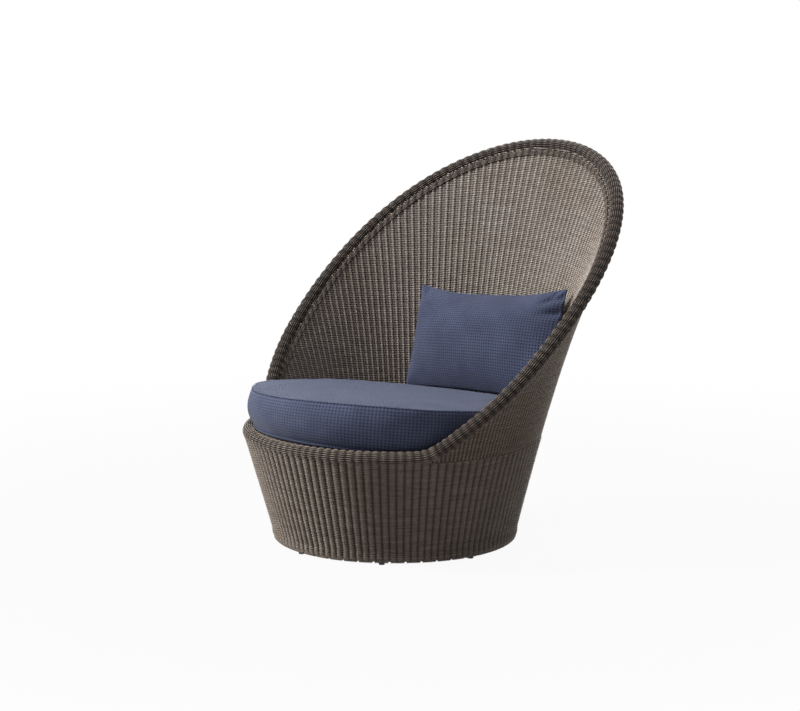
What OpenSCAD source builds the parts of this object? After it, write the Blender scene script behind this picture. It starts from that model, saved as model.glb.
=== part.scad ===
// Woven tub lounge chair: a flared round base that rises into a tall slanted back, woven inside
// and outside over a welded tube frame, with a round seat cushion and a lumbar pillow.
// Millimetres. +Z up, the sitter faces -Y, the floor is z = 0 and the middle of the whole chair
// is x = y = 0. Sizes are worked out about the axis of the base, and placed() moves them there.

/* [Woven wall] */
// Outer radius of the woven wall at the floor
base_r = 325; // [280:1:400]
// Outward slope of the wall, degrees from upright
flare_angle = 14.6; // [8:0.1:18]
// Extra half width of the wall at a height of 1 m
side_swell = 89; // [0:1:110]
// Forward lean of the wall at a height of 1 m
lean = 27; // [0:1:40]
// Extra outward sweep of the wall just under the back rim
top_kick = 31; // [0:1:40]
// Thickness of the outer and of the inner weave
weave_t = 5; // [3:0.5:7]

/* [Rim] */
// Height of the middle of the front rim
front_rim_h = 300; // [240:1:380]
// Height that the slanted rim has beside the axis of the base
slant_h = 484; // [400:1:600]
// Slope of the slanted rim there, degrees
slant_angle = 46; // [30:0.5:52]
// Drop of the slanted rim below a straight line, 1 m further back
rim_bow = 160; // [0:5:240]
// Softness of the corner between the front rim and the slanted rim
corner_soft = 12; // [6:1:25]
// Outer diameter of the rim tube
rim_tube_d = 22; // [16:0.5:30]
// Thickness of the strands bound over the rim tube
rim_bind_t = 7; // [3:0.5:12]
// Inset of the front rim's middle from the wall's outer face
front_inset = 15; // [12:0.5:20]
// Inset of the back rim's middle from the wall's outer face
back_inset = 7; // [4:0.5:14]

/* [Frame] */
// Diameter of the ring tube at the floor
base_tube_d = 20; // [16:0.5:26]
// Height of the middle of the floor ring
base_ring_h = 19; // [17:0.5:30]
// Diameter of the upright tubes
upright_d = 14; // [10:0.5:16]
// Diameter of the ring tube that carries the seat
seat_tube_d = 18; // [14:0.5:24]
// Diameter of the bars across the seat ring
bar_d = 14; // [10:0.5:16]
// Spacing of the bars across the seat ring
bar_gap = 190; // [120:5:230]
// Diameter of the lugs between the seat ring and the uprights
lug_d = 10; // [6:0.5:12]

/* [Base binding and glides] */
// Share of each pitch that a bundle covers
bundle_share = 0.5; // [0.3:0.05:0.55]
// Thickness of the strands in a bundle
bundle_t = 5.5; // [3:0.5:6]
// Diameter of a floor glide
glide_d = 16; // [10:0.5:20]
// Diameter of a glide's stem, pushed into the floor ring
glide_stem_d = 8; // [5:0.5:10]

/* [Seat deck] */
// Height of the woven seat deck's face over the axis of the base
deck_h = 268; // [240:1:300]
// Backward slope of the seat, degrees
seat_tilt = 6.1; // [3:0.1:8]
// Thickness of the woven deck
deck_t = 6; // [4:0.5:10]
// Height of the inner weave's lower edge above the deck
lining_lift = 4; // [2:0.5:10]
// Sag of the deck at its middle
deck_sag = 3; // [0:0.5:4]
// Thickness of the strands that wrap the seat ring
ring_wrap_t = 4; // [2:0.5:6]

/* [Seat cushion] */
// Radius of the cushion's top seam beyond the seat ring
cushion_overhang = 22.2; // [0:0.2:22.4]
// Height of the top seam above the deck
cushion_seam_h = 135; // [90:1:150]
// Crown of the top panel above the seam
cushion_crown = 16; // [8:1:40]
// Bulge of the side band
band_bulge = 10; // [4:1:13]
// Radius of the rolled lower edge
cushion_edge_r = 48; // [40:1:60]
// Offset of the cushion's middle towards the front of the seat ring's
cushion_forward = 12.5; // [0:0.5:12.5]
// Thickness of the cushion cover with its wadding
cover_t = 3; // [2:0.5:5]

/* [Pillow] */
// Width of the pillow from corner to corner
pillow_w = 612; // [500:2:620]
// Height of the pillow from corner to corner
pillow_h = 304; // [240:2:320]
// Thickness of the pillow at its middle
pillow_t = 118; // [80:2:130]
// Share by which the top edge sags between its corners
pillow_top_sag = 0.17; // [0:0.01:0.25]
// Share by which the bottom edge rises between its corners
pillow_bottom_rise = 0.2; // [0:0.01:0.25]
// Share by which the bottom is narrower than the top
pillow_taper = 0.06; // [0:0.01:0.12]
// Share by which the sides draw in between the corners
pillow_side_draw = 0.035; // [0:0.005:0.08]
// Thickness of the pillow cover
pillow_cover_t = 1.5; // [1:0.5:3]
// Middle of the pillow in front of the inner weave
pillow_off = 112.5; // [111:0.5:140]
// Middle of the pillow above the seat cushion's top seam
pillow_lift = 128; // [127:1:160]
// Backward lean of the pillow, degrees
pillow_lean = 17.5; // [14:0.5:20]
// Tip of the pillow to one side, degrees
pillow_tip = 3.8; // [0:0.1:5]

/* [Zips] */
// Width of the zip tapes
zip_w = 22; // [16:1:30]
// Thickness of the zip tapes
zip_t = 1.2; // [0.8:0.1:2]
// Angle that the seat cushion's zip spans
zip_span = 80; // [50:5:110]
// Length of the pillow's zip
pillow_zip_l = 400; // [300:10:460]
// Width of the pillow's zip below its seam
pillow_zip_w = 5; // [3:0.5:8]
// Length of a zip slider
slider_l = 12; // [8:1:16]
// Thickness of a zip slider
slider_t = 3; // [2:0.5:4]

/* [Hidden] */

// Strand bundles around the floor ring, and floor glides
bundles = 48;
glides = 8;
// Gap left between pieces that rest beside each other
gap = 0.3;
// Gap around a glide's stem in its hole
stem_gap = 0.05;
// Gap between an upright and the faceted weave on either side of it
upright_gap = 0.6;
flare = tan(flare_angle);
slant = tan(seat_tilt);
$fn = 48;

// Angles round the wall, 0 at the front, closer together at the two rim corners
fine_step = 1.875;
wide_step = 3.75;
corner_from = 60;
corner_to = 82.5;
half_angles = [for (a = [0 : wide_step : corner_from - 1]) a,
               for (a = [corner_from : fine_step : corner_to - 1]) a,
               for (a = [corner_to : wide_step : 180]) a];
// Angle at which the back wall and the slanted rim begin
shoulder = 67.5;
back_half = [for (a = half_angles) if (a >= shoulder) a];
tube_sides = 8;
bundle_step = 360/bundles;
front_upright_at = [-6*bundle_step, 0, 6*bundle_step];
side_upright_at = [-11*bundle_step, 11*bundle_step];
back_upright_at = [for (n = [16, 20, 24, 28, 32]) n*bundle_step];

function ramp(t) = t <= 0 ? 0 : t >= 1 ? 1 : t*t*(3 - 2*t);
function mix(a, b, t) = a + (b - a)*t;
function folded(a) = let (b = abs(a) % 360) b > 180 ? 360 - b : b;

// Outline of the wall at height z, and the sweep and inset that grow from the front to the back
function half_wide(z) = base_r + flare*z + side_swell*pow(z/1000, 2);
function half_deep(z) = base_r + flare*z;
function backness(a) = ramp((folded(a) - 60)/35);
function kick(a) = top_kick*backness(a);
function rim_inset(a) = mix(front_inset, back_inset, backness(a));

// Height of the rim's middle at angle a: a slanted, slightly bowed cut, blended into the level front
function slant_z(y) = slant_h + tan(slant_angle)*y - rim_bow*pow(y/1000, 2);
function soft_max(p, q) = q - p > 20*corner_soft ? q
    : p + corner_soft*ln(1 + exp((q - p)/corner_soft));
function rim_y(a, z) = -lean*z/1000 - (half_deep(z) + kick(a) - rim_inset(a))*cos(a);
function rim_solve(a, z, n) = n == 0 ? z
    : rim_solve(a, soft_max(front_rim_h, slant_z(rim_y(a, z))), n - 1);
rim_table = [for (a = [0 : 0.75 : 180]) [a, rim_solve(a, slant_h, 12)]];
function rim_h(a) = lookup(folded(a), rim_table);

// Point on the wall at angle a and height z, moved inwards by an inset
function wall_point(a, z, inset = 0) =
    let (out = kick(a)*pow(min(1, z/rim_h(a)), 4) - inset)
    [(half_wide(z) + out)*sin(a), -lean*z/1000 - (half_deep(z) + out)*cos(a), z];
function rim_point(a) = wall_point(a, rim_h(a), rim_inset(a));
mid_y = (rim_point(0)[1] + rim_point(180)[1])/2;
module placed() {
    translate([0, -mid_y, 0]) children();
}

// Slope of the rim at angle a, degrees, positive while it climbs with the angle
function rim_slope(a) = let (p = rim_point(a - 1), q = rim_point(a + 1))
    atan2(q[2] - p[2], norm([q[0] - p[0], q[1] - p[1]]));
// Height at which the wall and the uprights end, under the rim tube
function wall_top(a) = rim_h(a) - (rim_tube_d/2 + 2*gap)/cos(rim_slope(a));
wall_rows = 3;
back_rows = 6;

// Join of the two wall panels, level with the top of the front panel
split_h = front_rim_h - rim_tube_d/2 - 2*gap;
bundle_r = base_tube_d/2 + bundle_t;
upright_inset = weave_t + upright_gap + upright_d/2;
lining_inset = weave_t + upright_d + 2*upright_gap;
upright_low = base_ring_h + base_tube_d/2 + gap;
base_ring_r = half_deep(upright_low) - upright_inset;
// The wall stands on the bundles, at the height that they have under its inner face
facet_slack = 2;
wall_over_bundle = half_deep(base_ring_h + bundle_r) - weave_t - base_ring_r;
wall_low = base_ring_h + gap
    + sqrt(max(0, pow(bundle_r, 2) - pow(wall_over_bundle - facet_slack, 2)));

// Seat ring, in its own tilted frame: a circle that clears the front rim and meets the back upright
ring_drop = deck_t + gap + ring_wrap_t + seat_tube_d/2;
function ring_z(y) = deck_h - ring_drop/cos(seat_tilt) - slant*y;
ring_play = 1;
ring_outside = seat_tube_d/2 + ring_wrap_t + ring_play;
ring_front = half_deep(front_rim_h) + lean*front_rim_h/1000 - front_inset
    - rim_tube_d/2 - rim_bind_t - ring_outside;
ring_back_h = ring_z(base_r);
ring_back = half_deep(ring_back_h) - lean*ring_back_h/1000 - upright_inset - upright_d/2 - ring_outside;
seat_ring_r = (ring_front + ring_back)/2/cos(seat_tilt);
seat_ring_y = (ring_back - ring_front)/2;
// The deck's middle, square above the ring's middle
deck_y = seat_ring_y + ring_drop*sin(seat_tilt);

// Seat cushion: its place over the seat ring, then its profile of radius and height, from the
// rolled lower edge to the crown
cushion_r = seat_ring_r + cushion_overhang;
cushion_y = seat_ring_y - cushion_forward;
// The rolled lower edge stands in a little from the top seam
edge_in = 7;
flat_r = cushion_r - edge_in - cushion_edge_r;
edge_steps = 6;
band_steps = 8;
crown_steps = 10;
// How square the crown is: high values rise close to the seam
crown_power = 2.5;
function edge_pts(inset) = [for (i = [0 : edge_steps]) let (b = 90*i/edge_steps)
    [flat_r + (cushion_edge_r - inset)*sin(b), cushion_edge_r - (cushion_edge_r - inset)*cos(b)]];
function band_pts(inset) = [for (i = [1 : band_steps]) let (u = i/band_steps)
    [mix(flat_r + cushion_edge_r, cushion_r, u) + 4*band_bulge*u*(1 - u) - inset,
     mix(cushion_edge_r, cushion_seam_h - inset, u)]];
function crown_pts(inset) = [for (i = [0 : crown_steps]) let (u = i/crown_steps)
    [(cushion_r - inset)*(1 - u),
     cushion_seam_h - inset + cushion_crown*(1 - pow(1 - u, crown_power))]];
function backwards(v) = [for (i = [len(v) - 1 : -1 : 0]) v[i]];

// Zip on the back of the cushion's band
zip_mid = 0.5;
zip_steps = 4;
// The slider stands off the tape, whose facets don't follow the slider's
slider_gap = 3*gap;
// Length of tape beyond a closed slider, and the angle of tape beyond the cushion's
slider_end = 2;
slider_end_turn = 1;
function band_at(u, out) = [mix(flat_r + cushion_edge_r, cushion_r, u) + 4*band_bulge*u*(1 - u) + out,
    mix(cushion_edge_r, cushion_seam_h, u)];
zip_half = zip_w/2/(cushion_seam_h - cushion_edge_r);

// Points of a closed tube of n-sided rings, and the faces that skin a list of equal rings
function ring_faces(rings, n) = [for (i = [0 : rings - 2], j = [0 : n - 1]) let (k = (j + 1) % n)
    each [[i*n + j, i*n + k, (i + 1)*n + k], [i*n + j, (i + 1)*n + k, (i + 1)*n + j]]];
function end_fan(first, n) = [for (j = [1 : n - 2]) [first, first + j, first + j + 1]];
function flipped(faces) = [for (f = faces) [f[2], f[1], f[0]]];

module skin(rings, n) {
    points = [for (r = rings) each r];
    last = (len(rings) - 1)*n;
    faces = concat(flipped(ring_faces(len(rings), n)), end_fan(0, n), flipped(end_fan(last, n)));
    polyhedron(points, faces, convexity = 8);
}

// A flat-ended solid swept along the rim; profile points are [outwards, upwards] from the rim's middle
function unit(v) = v/norm(v);
function rim_ring(a, profile) =
    let (along = unit(rim_point(a + 0.5) - rim_point(a - 0.5)),
         out = unit(cross(along, [0, 0, 1])), up = cross(out, along), c = rim_point(a))
    [for (p = profile) c + out*p[0] + up*p[1]];

function arc_pts(r, from, to, steps) = [for (i = [0 : steps]) let (b = mix(from, to, i/steps))
    [r*cos(b), r*sin(b)]];
rim_turn = 36;
tube_profile = [for (b = [0 : rim_turn : 359]) rim_tube_d/2*[cos(b), sin(b)]];
// The binding wraps over the tube and leaves its underside open for the wall and the uprights
bind_from = -rim_turn;
bind_to = 5*rim_turn;
bind_steps = 6;
bind_in = rim_tube_d/2 + 3*gap;
bind_out = rim_tube_d/2 + rim_bind_t;
bind_profile = concat(arc_pts(bind_out, bind_from, bind_to, bind_steps),
                      backwards(arc_pts(bind_in, bind_from, bind_to, bind_steps)));

module tube_between(p, q, d) {
    v = q - p;
    translate(p)
        rotate([0, acos(v[2]/norm(v)), atan2(v[1], v[0])])
            cylinder(h = norm(v), d = d, $fn = 24);
}

// An upright follows the wall inside its inner face; its top is cut to the slope of the rim
module upright(a) {
    at_back = folded(a) > shoulder;
    tilt = tan(rim_slope(a));
    heights = concat([upright_low], [for (i = [1 : wall_rows - 1]) mix(wall_low, split_h, i/wall_rows)],
                     at_back ? [for (i = [0 : back_rows]) mix(split_h, wall_top(a), i/back_rows)] : [split_h]);
    rings = [for (z = heights) let (c = wall_point(a, z, upright_inset))
        [for (j = [0 : tube_sides - 1]) let (b = 360*j/tube_sides,
             p = upright_d/2*[cos(b), sin(b)], along = p[0]*cos(a) + p[1]*sin(a))
             [c[0] + p[0], c[1] + p[1], c[2] + (at_back && z == wall_top(a) ? along*tilt : 0)]]];
    skin(rings, tube_sides);
}

// A woven panel over a run of angles, given its lower and upper edge and the inset of its outer face
module wall_panel(angles, low, high, inset, rows, closed) {
    rings = [for (a = angles)
        concat([for (i = [0 : rows]) wall_point(a, mix(low(a), high(a), i/rows), inset)],
               [for (i = [rows : -1 : 0]) wall_point(a, mix(low(a), high(a), i/rows), inset + weave_t)])];
    n = 2*rows + 2;
    points = [for (r = rings) each r];
    count = len(rings);
    around = flipped(ring_faces(count, n));
    last = (count - 1)*n;
    join = flipped([for (j = [0 : n - 1]) let (k = (j + 1) % n)
        each [[last + j, last + k, k], [last + j, k, j]]]);
    end_a = [for (i = [0 : rows - 1]) each [[i, i + 1, n - 1 - i], [i + 1, n - 2 - i, n - 1 - i]]];
    end_b = [for (f = flipped(end_a)) [f[0] + last, f[1] + last, f[2] + last]];
    faces = concat(around, closed ? join : concat(end_a, end_b));
    polyhedron(points, faces, convexity = 10);
}

front_angles = concat([for (a = backwards(half_angles)) if (a > 0 && a <= shoulder) -a],
                      [for (a = half_angles) if (a <= shoulder) a]);
back_angles = concat(back_half, [for (a = backwards(back_half)) if (a < 180) 360 - a]);
all_angles = concat(half_angles, [for (a = backwards(half_angles)) if (a > 0 && a < 180) 360 - a]);

module on_seat(y, lift) {
    translate([0, y, deck_h - slant*y]) rotate([-seat_tilt, 0, 0]) translate([0, 0, lift]) children();
}

module base_ring() {
    color("dimgray") placed() difference() {
        translate([0, 0, base_ring_h]) rotate_extrude($fn = 120) translate([base_ring_r, 0])
            circle(d = base_tube_d);
        for (i = [0 : glides - 1])
            rotate(360*i/glides) translate([0, -base_ring_r, base_ring_h - base_tube_d])
                cylinder(h = base_tube_d, d = glide_stem_d + 2*stem_gap);
    }
}

module front_uprights() {
    color("dimgray") placed() for (a = front_upright_at) upright(a);
}

module side_uprights() {
    color("dimgray") placed() for (a = side_upright_at) upright(a);
}

module back_uprights() {
    color("dimgray") placed() for (a = back_upright_at) upright(a);
}

module front_rim_tube() {
    color("dimgray") placed() skin([for (a = front_angles) rim_ring(a, tube_profile)], tube_sides);
}

module back_rim_tube() {
    color("dimgray") placed() skin([for (a = back_angles) rim_ring(a, tube_profile)], tube_sides);
}

module seat_ring() {
    color("dimgray") placed() on_seat(deck_y, -ring_drop) rotate_extrude($fn = 120)
        translate([seat_ring_r, 0]) circle(d = seat_tube_d);
}

// Lugs lie in the ring's plane, square to the ring, and end just short of the leaning uprights
function lug_foot(a) = let (z = ring_z(wall_point(a, ring_z(wall_point(a, deck_h)[1]))[1]))
    wall_point(a, z, upright_inset);
lug_gap = 3*gap + (flare + slant)*lug_d/2;

module seat_lugs() {
    color("dimgray") placed() for (a = concat(front_upright_at, side_upright_at, back_upright_at)) {
        foot = lug_foot(a);
        v = unit([foot[0], (foot[1] - seat_ring_y)/cos(seat_tilt)]);
        start = [v[0]*seat_ring_r, seat_ring_y + v[1]*cos(seat_tilt)*seat_ring_r,
                 ring_z(seat_ring_y + v[1]*cos(seat_tilt)*seat_ring_r)];
        dir = [v[0], v[1]*cos(seat_tilt), -v[1]*sin(seat_tilt)];
        reach = norm(foot - start) - upright_d/2 - lug_gap;
        tube_between(start + dir*(seat_tube_d/2 + gap), start + dir*reach, lug_d);
    }
}

module seat_crossbars() {
    color("dimgray") placed() on_seat(deck_y, -ring_drop) for (y = [-bar_gap, 0, bar_gap]) {
        half = sqrt(pow(seat_ring_r - seat_tube_d/2 - gap, 2) - pow(abs(y) + bar_d/2, 2));
        translate([-half, y, 0]) rotate([0, 90, 0]) cylinder(h = 2*half, d = bar_d);
    }
}

module floor_glides() {
    foot_h = base_ring_h - base_tube_d/2;
    color("black") placed() for (i = [0 : glides - 1])
        rotate(360*i/glides) translate([0, -base_ring_r, 0]) {
            cylinder(h = foot_h, d = glide_d);
            cylinder(h = base_ring_h, d = glide_stem_d);
        }
}

module base_weave() {
    color("saddlebrown") placed()
        wall_panel(all_angles, function (a) wall_low, function (a) split_h, 0, wall_rows, true);
}

module back_weave() {
    color("sienna") placed()
        wall_panel(back_angles, function (a) split_h, function (a) wall_top(a), 0, back_rows, false);
}

// The inner weave starts just above the seat deck and hides the uprights
function lining_low(a) = deck_h + lining_lift - slant*wall_point(a, deck_h)[1];

module back_lining() {
    color("peru") placed()
        wall_panel(back_angles, function (a) lining_low(a), function (a) wall_top(a), lining_inset,
                   back_rows, false);
}

module front_rim_binding() {
    color("sienna") placed() skin([for (a = front_angles) rim_ring(a, bind_profile)], len(bind_profile));
}

module back_rim_binding() {
    color("saddlebrown") placed() skin([for (a = back_angles) rim_ring(a, bind_profile)], len(bind_profile));
}

module base_binding() {
    turn = bundle_step*bundle_share;
    color("sienna") placed() for (i = [0 : bundles - 1])
        rotate((i + 0.5)*bundle_step - turn/2 - 90) translate([0, 0, base_ring_h])
            rotate_extrude(angle = turn, $fn = 120) translate([base_ring_r, 0]) difference() {
                circle(r = bundle_r);
                circle(r = base_tube_d/2 + gap);
            }
}

// The deck lies on the bound seat ring and sags a little inside it
module seat_deck() {
    sag_r = seat_ring_r - seat_tube_d/2 - ring_wrap_t;
    steps = 6;
    top = concat([for (i = [0 : steps]) let (u = i/steps) [sag_r*u, -deck_sag*(1 - u*u)]],
                 [[seat_ring_r + seat_tube_d/4, 0]]);
    color("peru") placed() on_seat(deck_y, 0) rotate_extrude($fn = 120)
        polygon(concat(top, backwards([for (p = top) p - [0, deck_t]])));
}

module seat_ring_binding() {
    outer = seat_tube_d/2 + ring_wrap_t;
    color("peru") placed() on_seat(deck_y, -ring_drop) rotate_extrude($fn = 120)
        translate([seat_ring_r, 0]) difference() {
            circle(r = outer);
            circle(r = seat_tube_d/2 + gap);
            // Open on the inside and the outside, where the bars and the lugs meet the ring
            translate([-2*outer, -bar_d/2 - gap]) square([4*outer, bar_d + 2*gap]);
        }
}

module on_cushion() {
    on_seat(cushion_y, gap) children();
}

module cushion_top_panel() {
    color("slateblue") placed() on_cushion() rotate_extrude($fn = 120)
        polygon(concat(crown_pts(0), backwards(crown_pts(cover_t))));
}

module cushion_side_band() {
    color("darkslateblue") placed() on_cushion() rotate_extrude($fn = 120)
        polygon(concat(edge_pts(0), band_pts(0), backwards(concat(edge_pts(cover_t), band_pts(cover_t)))));
}

module cushion_bottom_panel() {
    color("darkslateblue") placed() on_cushion() cylinder(h = cover_t, r = flat_r, $fn = 120);
}

module cushion_core() {
    color("white") placed() on_cushion() rotate_extrude($fn = 120)
        polygon(concat([[0, cover_t + gap]], edge_pts(cover_t + gap), band_pts(cover_t + gap),
                       crown_pts(cover_t + gap)));
}

module cushion_zip_tape() {
    low = [for (i = [0 : zip_steps]) let (u = zip_mid - zip_half + 2*zip_half*i/zip_steps) u];
    color("midnightblue") placed() on_cushion() rotate(90 - zip_span/2) rotate_extrude(angle = zip_span, $fn = 120)
        polygon(concat([for (u = low) band_at(u, gap)], backwards([for (u = low) band_at(u, gap + zip_t)])));
}

module cushion_zip_slider() {
    foot = band_at(zip_mid, gap + zip_t);
    turn = slider_l/foot[0]*180/PI;
    color("silver") placed() on_cushion() rotate(90 + zip_span/2 - slider_end_turn - turn) rotate_extrude(angle = turn, $fn = 120)
        translate([foot[0] + slider_gap, foot[1] - slider_t]) square([slider_t, 2*slider_t]);
}

// Pillow: a grid over its face, u across and v up, both from -1 to 1, with drawn-in edges
pillow_nu = 16;
pillow_nv = 10;
// How square the pillow's section is: low values are full almost to the seam
pillow_plump = 0.45;
function pillow_draw(u, v) = v > 0 ? pillow_top_sag*(1 - u*u) : pillow_bottom_rise*(1 - pow(u, 6));
function pillow_fill(u, v) = pow(max(0, (1 - u*u)*(1 - v*v)), pillow_plump)*pillow_t/2;
function pillow_at(u, v, y) = [pillow_w/2*u*(1 - pillow_side_draw*(1 - v*v))*(1 - pillow_taper*(1 - v)/2), y,
                               pillow_h/2*v*(1 - pillow_draw(u, v))];

// A solid between a near and a far face over the grid, without its outermost lines if asked
module pillow_solid(skipped, near, far) {
    nu = pillow_nu - 2*skipped;
    nv = pillow_nv - 2*skipped;
    w = nu + 1;
    grid = [for (j = [0 : nv], i = [0 : nu]) [2*(i + skipped)/pillow_nu - 1, 2*(j + skipped)/pillow_nv - 1]];
    points = concat([for (g = grid) pillow_at(g[0], g[1], near(pillow_fill(g[0], g[1])))],
                    [for (g = grid) pillow_at(g[0], g[1], far(pillow_fill(g[0], g[1])))]);
    half = len(grid);
    front = [for (j = [0 : nv - 1], i = [0 : nu - 1]) let (p = j*w + i)
        each [[p, p + w, p + 1], [p + 1, p + w, p + w + 1]]];
    back = [for (f = flipped(front)) [f[0] + half, f[1] + half, f[2] + half]];
    rim = concat([for (i = [0 : nu - 1]) i],
                 [for (j = [0 : nv - 1]) j*w + nu],
                 [for (i = [nu : -1 : 1]) nv*w + i],
                 [for (j = [nv : -1 : 1]) j*w]);
    sides = [for (k = [0 : len(rim) - 1]) let (p = rim[k], q = rim[(k + 1) % len(rim)])
        each [[p, q, q + half], [p, q + half, p + half]]];
    polyhedron(points, concat(front, back, sides), convexity = 6);
}

pillow_z = deck_h + cushion_seam_h + pillow_lift;
pillow_y = half_deep(pillow_z) - lean*pillow_z/1000 - lining_inset - weave_t - pillow_off;

module on_pillow() {
    translate([0, pillow_y, pillow_z]) rotate([-pillow_lean, 0, 0]) rotate([0, -pillow_tip, 0]) children();
}

module pillow_front_cover() {
    color("slateblue") placed() on_pillow()
        pillow_solid(0, function (f) -f - gap/2 - pillow_cover_t, function (f) -f - gap/2);
}

module pillow_back_cover() {
    color("darkslateblue") placed() on_pillow()
        pillow_solid(0, function (f) f + gap/2, function (f) f + gap/2 + pillow_cover_t);
}

module pillow_filling() {
    color("white") placed() on_pillow()
        pillow_solid(1, function (f) -f + gap, function (f) f - gap);
}

// The pillow's zip lies in the bottom seam, straight along its level middle
pillow_zip_top = pillow_at(pillow_zip_l/pillow_w/(1 - pillow_taper), -1, 0)[2] - 2*gap;

module pillow_zip_tape() {
    color("midnightblue") placed() on_pillow()
        translate([-pillow_zip_l/2, -zip_t/2, pillow_zip_top - pillow_zip_w])
            cube([pillow_zip_l, zip_t, pillow_zip_w]);
}

module pillow_zip_slider() {
    color("silver") placed() on_pillow()
        translate([pillow_zip_l/2 - slider_l - slider_end, zip_t/2 + gap, pillow_zip_top - pillow_zip_w])
            cube([slider_l, slider_t, pillow_zip_w]);
}

base_ring();
front_uprights();
side_uprights();
back_uprights();
front_rim_tube();
back_rim_tube();
seat_ring();
seat_lugs();
seat_crossbars();
floor_glides();
base_weave();
back_weave();
back_lining();
front_rim_binding();
back_rim_binding();
base_binding();
seat_deck();
seat_ring_binding();
cushion_top_panel();
cushion_side_band();
cushion_bottom_panel();
cushion_core();
cushion_zip_tape();
cushion_zip_slider();
pillow_front_cover();
pillow_back_cover();
pillow_filling();
pillow_zip_tape();
pillow_zip_slider();
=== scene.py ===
import math
import random

import bmesh
import bpy
import numpy as np
import mathutils.noise
from mathutils import Matrix, Vector
from mathutils.bvhtree import BVHTree


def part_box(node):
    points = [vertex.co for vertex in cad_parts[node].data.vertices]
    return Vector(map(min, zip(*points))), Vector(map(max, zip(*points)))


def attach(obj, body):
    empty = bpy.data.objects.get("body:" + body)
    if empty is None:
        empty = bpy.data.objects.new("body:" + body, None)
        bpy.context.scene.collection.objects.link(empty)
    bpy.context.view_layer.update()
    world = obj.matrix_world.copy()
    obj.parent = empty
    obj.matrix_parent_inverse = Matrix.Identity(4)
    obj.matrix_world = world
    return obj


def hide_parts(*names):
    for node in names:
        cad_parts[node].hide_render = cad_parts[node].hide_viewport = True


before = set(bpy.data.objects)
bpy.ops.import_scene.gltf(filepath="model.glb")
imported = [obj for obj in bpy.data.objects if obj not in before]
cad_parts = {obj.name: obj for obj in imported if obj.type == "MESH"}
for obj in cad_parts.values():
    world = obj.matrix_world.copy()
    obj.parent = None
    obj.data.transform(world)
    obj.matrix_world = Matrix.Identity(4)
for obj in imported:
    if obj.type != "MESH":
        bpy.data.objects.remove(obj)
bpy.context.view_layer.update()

print("frame loaded")


# Small helpers
def mix(a, b, t):
    return a + (b - a)*t


def ramp(t):
    t = min(1.0, max(0.0, t))
    return t*t*(3 - 2*t)


def middle(node):
    low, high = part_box(node)
    return (low + high)/2


def paint(red, green, blue):    # a colour as a paint chart gives it, 0 to 255
    chart = [c/255 for c in (red, green, blue)]
    return tuple(c/12.92 if c < 0.04 else ((c + 0.055)/1.055)**2.4 for c in chart) + (1,)


def addObject(name, data):
    thing = bpy.data.objects.new(name, data)
    bpy.context.scene.collection.objects.link(thing)
    return thing


def evaluated(holder):     # the holder's mesh with its modifiers applied
    return bpy.data.meshes.new_from_object(holder.evaluated_get(bpy.context.evaluated_depsgraph_get()))


def meshFrom(bm, name):
    mesh = bpy.data.meshes.new(name)
    bm.to_mesh(mesh)
    bm.free()
    return mesh


def placesOf(mesh):
    return np.array([v.co[:] for v in mesh.vertices])


def setPlaces(mesh, places):
    mesh.vertices.foreach_set("co", places.ravel())
    mesh.update()


def addPiece(name, mesh, body, material, replaced=()):
    piece = addObject(name, mesh)
    mesh.materials.clear()
    mesh.materials.append(material)
    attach(piece, body)
    if replaced:
        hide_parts(*replaced)
    print("made", name, len(mesh.polygons), "faces")
    return piece


# Camera, as the photograph was taken
cameraView = {
    "place": (5.483, -4.499, 1.698),
    "back": (0.7676, -0.6186, 0.1675),    # from the chair towards the camera
    "lens": 118.0,
    "sensor": 36,
    "farthest": 60,
}
cameraData = bpy.data.cameras.new("camera")
cameraData.lens = cameraView["lens"]
cameraData.sensor_width = cameraView["sensor"]
cameraData.clip_end = cameraView["farthest"]
camera = addObject("camera", cameraData)
camera.location = cameraView["place"]
camera.rotation_mode = "QUATERNION"
camera.rotation_quaternion = (-Vector(cameraView["back"])).to_track_quat("-Z", "Y")
bpy.context.scene.camera = camera


# Materials: a few helpers, then one function for each finish
def startMaterial(name, roughness, specular=0.5):
    material = bpy.data.materials.new(name)
    material.use_nodes = True
    nodes = material.node_tree.nodes
    shader = nodes["Principled BSDF"]
    shader.inputs["Roughness"].default_value = roughness
    shader.inputs["Specular IOR Level"].default_value = specular
    return material, shader


def addNode(material, kind, **settings):
    node = material.node_tree.nodes.new(kind)
    for key, value in settings.items():
        if hasattr(node, key):
            setattr(node, key, value)
        else:
            node.inputs[key].default_value = value
    return node


def link(material, source, output, target, field):
    material.node_tree.links.new(source.outputs[output], target.inputs[field])


def objectPattern(material, scale=(1, 1, 1)):     # object coordinates, scaled on each axis
    coords = addNode(material, "ShaderNodeTexCoord")
    mapping = addNode(material, "ShaderNodeMapping")
    mapping.inputs["Scale"].default_value = scale
    link(material, coords, "Object", mapping, "Vector")
    return mapping


def clothPattern(material, scale=(1, 1, 1)):      # the piece's own cloth map, in metres, scaled
    coords = addNode(material, "ShaderNodeUVMap", uv_map="cloth")
    mapping = addNode(material, "ShaderNodeMapping")
    mapping.inputs["Scale"].default_value = scale
    link(material, coords, "UV", mapping, "Vector")
    return mapping


def twoTones(material, source, output, low, high, dark, light):
    tones = addNode(material, "ShaderNodeValToRGB")
    tones.color_ramp.elements[0].position = low
    tones.color_ramp.elements[0].color = dark
    tones.color_ramp.elements[1].position = high
    tones.color_ramp.elements[1].color = light
    link(material, source, output, tones, "Fac")
    return tones


# A Mix node's sockets for colours: its factor, its two colours and its result
mixSocket = {"factor": 0, "first": 6, "second": 7, "result": 2}


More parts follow.
